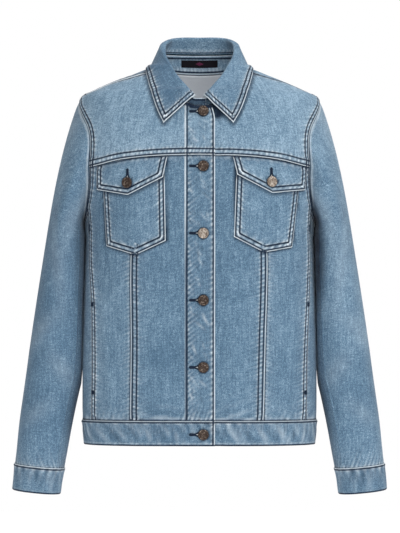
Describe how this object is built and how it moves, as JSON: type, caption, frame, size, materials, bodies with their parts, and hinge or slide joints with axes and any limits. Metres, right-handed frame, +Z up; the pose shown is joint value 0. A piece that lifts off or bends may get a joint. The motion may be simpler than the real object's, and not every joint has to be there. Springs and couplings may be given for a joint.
{
  "type": "denim jacket",
  "caption": "Hip-length denim jacket, worn shape with no wearer: buttoned front, turned-down collar, flap chest pockets, welt side pockets, waistband and cuffs.",
  "frame": {"origin": "middle of the neck opening at the height of the shoulder's highest point, where the wearer's shoulders hold the jacket", "axes": "+X towards the wearer's left, -Y towards the wearer's front, +Z up"},
  "size_m": [0.5968, 0.2453, 0.7359],
  "materials": {
    "denim": "washed light blue twill, matt",
    "button_metal": "darkened, semi-matt",
    "label": "black woven satin"
  },
  "bodies": {
    "root": {"back_centre": "denim", "back_yoke": "denim", "collar": "denim", "neckband": "denim", "waistband": "denim", "back_side_right": "denim", "chest_pocket_right": "denim", "cuff_right": "denim", "front_centre_right": "denim", "front_side_right": "denim", "front_yoke_right": "denim", "pocket_flap_right": "denim", "side_panel_right": "denim", "sleeve_top_right": "denim", "sleeve_under_right": "denim", "back_side_left": "denim", "chest_pocket_left": "denim", "cuff_left": "denim", "front_centre_left": "denim", "front_side_left": "denim", "front_yoke_left": "denim", "pocket_flap_left": "denim", "side_panel_left": "denim", "sleeve_top_left": "denim", "sleeve_under_left": "denim", "button_front_1": "button_metal", "button_front_2": "button_metal", "button_front_3": "button_metal", "button_front_4": "button_metal", "button_front_5": "button_metal", "button_front_6": "button_metal", "flap_button_right": "button_metal", "flap_button_left": "button_metal", "neck_label": "label"}
  },
  "joints": []
}
